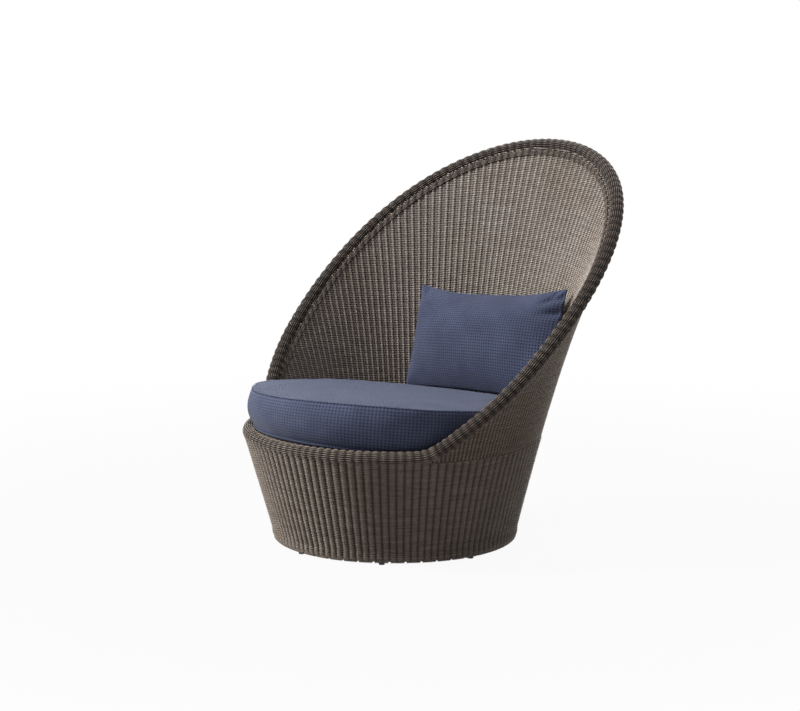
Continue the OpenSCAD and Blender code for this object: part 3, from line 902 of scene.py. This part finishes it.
def cushionProfile():      # distance from the axis and height, from the bottom's middle to the top's middle
    c = cushion
    low, high, groove = c["lowSeamHeight"], c["seamHeight"], c["grooveWidth"]
    points = [(r, 0) for r in np.linspace(0, c["flatRadius"], 12)]
    wide = c["lowSeamRadius"] - c["flatRadius"]
    for t in np.linspace(0, 90, 7)[1:-1]:
        turn = math.radians(t)
        points.append((c["flatRadius"] + wide*math.sin(turn), low - low*math.cos(turn)))
    points += [(c["lowSeamRadius"], low - groove), (c["lowSeamRadius"] - c["grooveDepth"], low)]
    for u in np.linspace(0, 1, 11):
        height = mix(low + groove, high - groove, u)
        points.append((mix(c["lowSeamRadius"], c["radius"], u) + 4*c["bandBulge"]*u*(1 - u), height))
    points.append((c["radius"] - c["grooveDepth"], high))
    for r in (c["radius"] - 0.0045, *np.linspace(c["radius"] - 0.012, 0, 24)):
        points.append((r, high + 0.0012 + c["crown"]*(1 - (r/c["radius"])**6)))
    return points


def settle(point):     # the softer shape that the cushion takes in use
    x, y, z = point
    out = math.hypot(x, y)
    turn = math.degrees(math.atan2(x, -y))     # 0 at the front, towards the sitter's left
    share = ramp(z/cushion["seamHeight"])
    towards = x*cushion["dipTowards"][0] + y*cushion["dipTowards"][1]
    z -= share*cushion["dip"]*ramp(towards/cushion["dipWithin"])
    aside = abs(turn - cushion["droopAt"])/cushion["droopWithin"]
    z -= share*cushion["leftDroop"]*ramp(out/cushion["radius"])*ramp(1 - aside)
    u = (z - cushion["lowSeamHeight"])/(cushion["seamHeight"] - cushion["lowSeamHeight"])
    if 0 < u < 1 and out > cushion["bandInside"]:
        facing = math.cos(math.radians(turn - cushion["frontBulgeAt"]))
        near = ramp((facing - cushion["frontBulgeFrom"])/cushion["frontBulgeWithin"])
        grow = 1 + 4*u*(1 - u)*cushion["frontBulge"]*near/out
        x, y = x*grow, y*grow
    return x, y, z


# The cushion's cloth map: round the band, and flat on the top and the bottom
def wrapCushion(mesh):
    flatRadius = cushion["flatRadius"] + 0.001
    bandTop = cushion["seamHeight"] + 0.0005
    lowHeight = cushion["lowSeamHeight"]
    threads = round(2*math.pi*cushion["radius"]/clothPitch[0])
    girth = threads*clothPitch[0]
    layer = mesh.uv_layers.new(name="cloth")
    for face in mesh.polygons:
        turns = [math.atan2(mesh.vertices[v].co.x, -mesh.vertices[v].co.y) for v in face.vertices]
        centre = face.center
        band = centre.z < bandTop and math.hypot(centre.x, centre.y) > flatRadius
        for k, loop in enumerate(face.loop_indices):
            co = mesh.vertices[face.vertices[k]].co
            if band:
                turn = turns[k] - 2*math.pi if turns[k] - turns[0] > math.pi else turns[k]
                turn = turn + 2*math.pi if turns[0] - turns[k] > math.pi else turn
                fall = max(0, lowHeight - co.z)/lowHeight
                under = lowHeight*math.acos(max(0, 1 - fall))
                up = max(co.z, lowHeight) - under*cushion["underStretch"]
                layer.data[loop].uv = (turn/(2*math.pi)*girth, up)
            else:
                layer.data[loop].uv = (co.x, co.y)


def bandLimit(turn, height):     # how far out the side band may come; turn is in degrees from the back
    u = max(0, height - zipBand["low"])/(cushion["seamHeight"] - zipBand["low"])
    tape = mix(zipBand["lowRadius"], cushion["radius"], u) + 4*zipBand["bulge"]*u*(1 - u)
    free = zipBand["freedom"]*ramp((abs(turn) - zipBand["halfAngle"])/zipBand["fade"])
    return tape - zipBand["behind"] + free


def cushionPins(places):     # the seams and the bottom hold, and the rest of the cloth is loose
    pins = {}
    for index, (x, y, z) in enumerate(places):
        out = math.hypot(x, y)
        seam = min(abs(z - cushion["seamHeight"]) + abs(out - cushion["radius"]),
                   abs(z - cushion["lowSeamHeight"]) + abs(out - cushion["lowSeamRadius"]))
        held = z < cushion["pinnedUnder"] or seam < cushion["pinnedSeam"]
        pins[index] = 1.0 if held else cushion["looseness"]
    return pins


def rippled(point):     # slow dents in the foam and small ones in the cloth
    x, y, z = point
    out = math.hypot(x, y)
    onBand = out > cushion["bandInside"]
    if z > cushion["lowSeamHeight"]:
        ripple = 0
        for layer, (depth, waves) in enumerate(cushion["ripples"]):
            ripple += depth*mathutils.noise.noise(Vector((x*waves[0], y*waves[1], z*waves[2] + 5*layer)))
        if onBand and z < cushion["seamHeight"]:
            grow = (out + cushion["bandRipple"]*ripple)/out
            x, y = x*grow, y*grow
        z += ripple*(1 if z > cushion["seamHeight"] else cushion["sideRipple"])
    if cushion["lowSeamHeight"] < z < cushion["seamHeight"] and onBand:
        out = math.hypot(x, y)
        limit = bandLimit(math.degrees(math.atan2(x, y)), z)
        if out > limit:
            x, y = x*limit/out, y*limit/out
    return x, y, z


def makeCushionStitches(place):
    stitches = []
    for seam, height in (("radius", "seamHeight"), ("lowSeamRadius", "lowSeamHeight")):
        radius = cushion[seam] - cushion["stitchInset"]
        for i in range(cushion["stitches"]):
            stitch = []
            for share in (cushion["stitchFrom"], cushion["stitchTo"]):
                turn = 2*math.pi*(i + share)/cushion["stitches"]
                point = (radius*math.sin(turn), -radius*math.cos(turn), cushion[height])
                stitch.append(place @ Vector(settle(point)))
            stitches.append(stitch)
    mesh = strandMesh("cushionStitches", stitches, cushion["stitchRadius"])
    addPiece("cushionStitches", mesh, "seat_cushion", finish["thread"])


def makeCushion():
    bm = bmesh.new()
    line = [bm.verts.new((r, 0, z)) for r, z in cushionProfile()]
    edges = [bm.edges.new(pair) for pair in zip(line, line[1:])]
    bmesh.ops.spin(bm, geom=line + edges, cent=(0, 0, 0), axis=(0, 0, 1), angle=2*math.pi,
                   steps=cushion["around"], use_merge=True, use_duplicate=False)
    bmesh.ops.remove_doubles(bm, verts=bm.verts, dist=0.0002)
    bmesh.ops.recalc_face_normals(bm, faces=bm.faces)
    mesh = meshFrom(bm, "seatCushion")
    places = placesOf(mesh)
    places = swell(mesh, None, cushionPins(places), cushion)
    setPlaces(mesh, np.array([rippled(point) for point in places]))
    wrapCushion(mesh)
    setPlaces(mesh, np.array([settle(point) for point in placesOf(mesh)]))
    mesh = subdivided(mesh)
    tilt = Matrix.Rotation(math.radians(-cushion["tilt"]), 4, "X")
    place = Matrix.Translation((0, axisY + cushion["forward"], cushion["restHeight"])) @ tilt
    mesh.transform(place)
    mesh.name = "seatCushion"
    piece = addPiece("seatCushion", mesh, "seat_cushion", finish["cushion"],
                     ["cushion_top_panel", "cushion_side_band", "cushion_bottom_panel", "cushion_core"])
    makeCushionStitches(place)
    return piece


# Pillow: two flat panels sewn together at the rim and blown up, so the corners stay as ears and pucker
pillow = {
    "width": 0.612,
    "height": 0.304,
    "thick": 0.128,
    "cutWidth": 0.640,        # size of a panel before it is filled
    "cutHeight": 0.352,
    "topSag": 0.19,           # how far the middle of each seam draws in, as a share of half the pillow
    "bottomRise": 0.03,
    "sideDraw": 0.035,
    "taper": 0.008,           # how much narrower it is low down
    "cornerDraw": 0.030,      # how far the corners are rounded off
    "topPower": 3.2,          # the higher a power, the closer to the corners a seam keeps its middle's place
    "bottomPower": 6,
    "cornerPower": 16,
    "fillPower": 0.45,        # the lower, the steeper the panels rise from the seams
    "across": 90,
    "up": 46,
    "middle": (0.009, 0.3113, 0.524),       # from the base's axis
    "lean": 17.5,
    "tip": 5.2,
    "fullHighUp": 0.22,       # how much fuller it is high up than at its middle
    "droop": 0.25,            # how far the filling hangs over the bottom seam
    "droopUnder": 0.2,        # the share of its height at which that begins
    "foldWidth": 0.009,
    "foldDepth": 0.013,
    "thinnest": 0.25,         # share of the thickness that a fold leaves
    "pressure": 45.0,
    "frames": 36,
    "most": 0.06,
    "blownUp": 0.55,          # share of its thickness before the simulation
    "cutGap": 0.0004,         # between the flat panels
}
pillowFolds = (               # across and up, where each begins at the seam and where it runs out
    (1, 0.8, 0.74, 0.66),
    (1, 0.5, 0.76, 0.42),
    (0.94, 1, 0.8, 0.6),
    (-1, 0.7, -0.84, 0.6),
    (-0.9, 1, -0.74, 0.66),
    (1, -0.3, 0.84, -0.26),
)
pillowSeat = {                # how the pillow is set down on the cushion
    "gap": 0.0012,
    "mostSink": 0.040,
    "sinkUnder": 0.35,        # share of its height under which it gives way
    "sinkPower": 1.5,
    "rayFrom": 0.6,
    "under": 0.46,            # only the cloth under this height can touch the cushion
    "onTop": 0.33,            # the cushion's top is above this height
}


def pillowOutline(u, v):      # across and up, each from -1 to 1
    p = pillow
    draw = p["topSag"]*(1 - abs(u)**p["topPower"]) if v > 0 else p["bottomRise"]*(1 - u**p["bottomPower"])
    wide = p["width"]/2*u*(1 - p["sideDraw"]*(1 - v*v))*(1 - p["taper"]*(1 - v)/2)
    corner = 1 - p["cornerDraw"]*abs(u)**p["cornerPower"]*abs(v)**p["cornerPower"]
    return wide*corner, p["height"]/2*v*(1 - draw*abs(v))*corner**2


def puckerDepth(u, v):        # a pucker is deepest at the seam and runs out over the panel
    depth = 0
    size = Vector((pillow["width"]/2, pillow["height"]/2))
    for fromU, fromV, toU, toV in pillowFolds:
        start = Vector((fromU, fromV))*size
        along = Vector((toU, toV))*size - start
        here = Vector((u, v))*size - start
        share = min(1.0, max(0.0, here.dot(along)/along.length_squared))
        aside = (here - along*share).length/pillow["foldWidth"]
        depth += pillow["foldDepth"]*(1 - share)*math.exp(-aside*aside)
    return depth


# Two flat panels, joined at the rim: z only tells the side, 1 or -1, and is 0 at the seam
def sewnPanels():
    bm = bmesh.new()
    bmesh.ops.create_grid(bm, x_segments=pillow["across"], y_segments=pillow["up"], size=1)
    layer = bm.loops.layers.uv.new("cloth")
    for face in bm.faces:
        for loop in face.loops:
            loop[layer].uv = (loop.vert.co.x*pillow["cutWidth"]/2, loop.vert.co.y*pillow["cutHeight"]/2)
    copy = bmesh.ops.duplicate(bm, geom=bm.verts[:] + bm.edges[:] + bm.faces[:])["geom"]
    others = [item for item in copy if isinstance(item, bmesh.types.BMVert)]
    for vert in bm.verts:
        vert.co.z = 1
    for vert in others:
        vert.co.z = -1
    for vert in bm.verts:
        if max(abs(vert.co.x), abs(vert.co.y)) > 0.9999:
            vert.co.z = 0
    bmesh.ops.remove_doubles(bm, verts=bm.verts, dist=1e-5)
    bmesh.ops.recalc_face_normals(bm, faces=bm.faces)
    return meshFrom(bm, "lumbarPillow")


def fillPillow(mesh, flat):       # swells the panels, then lets the filling droop and draws the puckers in
    share = pillow["blownUp"]
    start, cut, pins = [], [], {}
    for index, (u, v, side) in enumerate(flat):
        across, up = pillowOutline(u, v)
        fill = (max(0, 1 - u*u)*max(0, 1 - v*v))**pillow["fillPower"]
        start.append((across, -side*share*fill*pillow["thick"]/2, up))
        cut.append((u*pillow["cutWidth"]/2, -side*pillow["cutGap"], v*pillow["cutHeight"]/2))
        if side == 0:
            pins[index] = 1.0
    places = np.array(start)
    setPlaces(mesh, places)
    places = swell(mesh, np.array(cut), pins, pillow)
    print("pillow", round(float(np.abs(places[:, 1]).max())*2000, 1), "mm thick before it is fitted")
    places[:, 1] *= pillow["thick"]/2/np.abs(places[:, 1]).max()*(1 + pillow["fullHighUp"]*flat[:, 1])
    for index, (u, v, side) in enumerate(flat):
        depth = abs(places[index, 1])
        places[index, 2] -= pillow["droop"]*depth*ramp(pillow["droopUnder"] - v)
        places[index, 1] = -side*max(depth*pillow["thinnest"], depth - puckerDepth(u, v))
    setPlaces(mesh, places)


def seatFinder(seat):      # gives a function that finds the cushion's height under a point
    tree = BVHTree.FromPolygons([v.co for v in seat.data.vertices], [f.vertices for f in seat.data.polygons])

    def seatUnder(point):
        above = Vector((point.x, point.y, pillowSeat["rayFrom"]))
        hit = tree.ray_cast(above, Vector((0, 0, -1)))[0]
        return hit.z if hit else None

    return seatUnder


def setDown(mesh, flat, seatUnder):       # the pillow gives way until its bottom seam meets the cushion
    edgeU, edgeGap = [], []
    for index, (u, v, side) in enumerate(flat):
        if side == 0 and v < -0.999:
            surface = seatUnder(mesh.vertices[index].co)
            if surface is not None and surface > pillowSeat["onTop"]:
                edgeU.append(u)
                edgeGap.append(mesh.vertices[index].co.z - surface - pillowSeat["gap"])
    order = np.argsort(edgeU)
    edgeU, edgeGap = np.array(edgeU)[order], np.array(edgeGap)[order]
    print("pillow's bottom seam above the seat:", np.round(edgeGap[::15]*1000, 1), "mm")
    begin = pillowSeat["sinkUnder"]
    for index, (u, v, side) in enumerate(flat):
        sink = min(max(float(np.interp(u, edgeU, edgeGap)), 0), pillowSeat["mostSink"])
        mesh.vertices[index].co.z -= sink*max(0, (begin - v)/(begin + 1))**pillowSeat["sinkPower"]


def makePillow(seat):
    mesh = sewnPanels()
    flat = placesOf(mesh)
    fillPillow(mesh, flat)
    x, y, z = pillow["middle"]
    lean = Matrix.Rotation(math.radians(-pillow["lean"]), 4, "X")
    tip = Matrix.Rotation(math.radians(-pillow["tip"]), 4, "Y")
    mesh.transform(Matrix.Translation((x, axisY + y, z)) @ lean @ tip)
    seatUnder = seatFinder(seat)
    setDown(mesh, flat, seatUnder)
    mesh = subdivided(mesh)
    for vert in mesh.vertices:
        if vert.co.z < pillowSeat["under"]:
            surface = seatUnder(vert.co)
            if surface is not None and vert.co.z < surface + pillowSeat["gap"]:
                vert.co.z = surface + pillowSeat["gap"]
    mesh.name = "lumbarPillow"
    piece = addPiece("lumbarPillow", mesh, "pillow", finish["pillow"],
                     ["pillow_front_cover", "pillow_back_cover", "pillow_filling"])


seatCushion = makeCushion()
makePillow(seatCushion)
print("soft goods done")


# CAD nodes that keep their shape and get their finish
keptNodes = {
    "tube": ("base_ring", "front_uprights", "side_uprights", "back_uprights", "front_rim_tube",
             "back_rim_tube", "seat_ring", "seat_lugs", "seat_crossbars"),
    "glide": ("floor_glides",),
    "stake": ("seat_ring_binding",),
    "tape": ("cushion_zip_tape", "pillow_zip_tape"),
    "slider": ("cushion_zip_slider", "pillow_zip_slider"),
}
for key, nodes in keptNodes.items():
    for node in nodes:
        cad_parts[node].data.materials.clear()
        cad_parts[node].data.materials.append(finish[key])
print("frame finished")


# Studio: a pale floor that keeps the shadow, a white world for the camera, three soft lamps
studio = {
    "floorSize": 60,
    "floorColour": paint(164, 164, 164),
    "floorGlow": 0.94,        # share of plain white that the camera sees on the floor near the chair
    "glowFrom": 0.9,          # distances between which the floor turns all white
    "glowTo": 3.0,
    "fill": 0.04,             # strength of the world on the chair
    "lamps": (                # name, strength, width in degrees and direction
        ("sideLamp", 3.5, 22, (-0.50, -0.59, 0.63)),
        ("topLamp", 0.7, 45, (0.19, -0.155, 0.97)),
        ("backLamp", 1.5, 50, (-0.66, 0.62, 0.42)),
    ),
}


def seenDirectly(tree):   # 1 for camera, glossy and transmission rays
    path = tree.nodes.new("ShaderNodeLightPath")
    total = path.outputs["Is Camera Ray"]
    for ray in ("Is Glossy Ray", "Is Transmission Ray"):
        larger = tree.nodes.new("ShaderNodeMath")
        larger.operation = "MAXIMUM"
        tree.links.new(total, larger.inputs[0])
        tree.links.new(path.outputs[ray], larger.inputs[1])
        total = larger.outputs[0]
    return total


def chosenShader(tree, share, first, second, target):     # the second shader takes over by its share
    choice = tree.nodes.new("ShaderNodeMixShader")
    tree.links.new(share, choice.inputs[0])
    tree.links.new(first.outputs[0], choice.inputs[1])
    tree.links.new(second.outputs[0], choice.inputs[2])
    tree.links.new(choice.outputs[0], tree.nodes[target].inputs["Surface"])


def makeWorld():
    world = bpy.data.worlds.new("studio")
    bpy.context.scene.world = world
    world.use_nodes = True
    tree = world.node_tree
    plain = tree.nodes["Background"]
    plain.inputs["Color"].default_value = (1, 1, 1, 1)
    plain.inputs["Strength"].default_value = studio["fill"]
    white = tree.nodes.new("ShaderNodeBackground")
    white.inputs["Color"].default_value = (1, 1, 1, 1)
    white.inputs["Strength"].default_value = 1
    chosenShader(tree, seenDirectly(tree), plain, white, "World Output")


def makeFloor():
    bm = bmesh.new()
    bmesh.ops.create_grid(bm, x_segments=1, y_segments=1, size=studio["floorSize"]/2)
    mesh = meshFrom(bm, "floor")
    floor = addObject("floor", mesh)
    material, shader = startMaterial("floorPaint", 0.9, 0.1)
    shader.inputs["Base Color"].default_value = studio["floorColour"]
    tree = material.node_tree
    glow = tree.nodes.new("ShaderNodeEmission")
    glow.inputs["Color"].default_value = (1, 1, 1, 1)
    glow.inputs["Strength"].default_value = 1
    far = addNode(material, "ShaderNodeVectorMath", operation="LENGTH")
    link(material, objectPattern(material), "Vector", far, "Vector")
    share = addNode(material, "ShaderNodeMapRange", interpolation_type="SMOOTHSTEP")
    share.inputs["From Min"].default_value = studio["glowFrom"]
    share.inputs["From Max"].default_value = studio["glowTo"]
    share.inputs["To Min"].default_value = studio["floorGlow"]
    link(material, far, "Value", share, "Value")
    seen = addNode(material, "ShaderNodeMath", operation="MULTIPLY")
    tree.links.new(seenDirectly(tree), seen.inputs[0])
    tree.links.new(share.outputs[0], seen.inputs[1])
    chosenShader(tree, seen.outputs[0], shader, glow, "Material Output")
    mesh.materials.append(material)


def makeLamps():
    for name, strength, angle, direction in studio["lamps"]:
        lamp = bpy.data.lights.new(name, "SUN")
        lamp.energy = strength
        lamp.angle = math.radians(angle)
        holder = addObject(name, lamp)
        holder.rotation_mode = "QUATERNION"
        holder.rotation_quaternion = Vector(direction).to_track_quat("Z", "Y")


makeWorld()
makeFloor()
makeLamps()
bpy.context.scene.view_settings.view_transform = "Standard"
print("studio done")
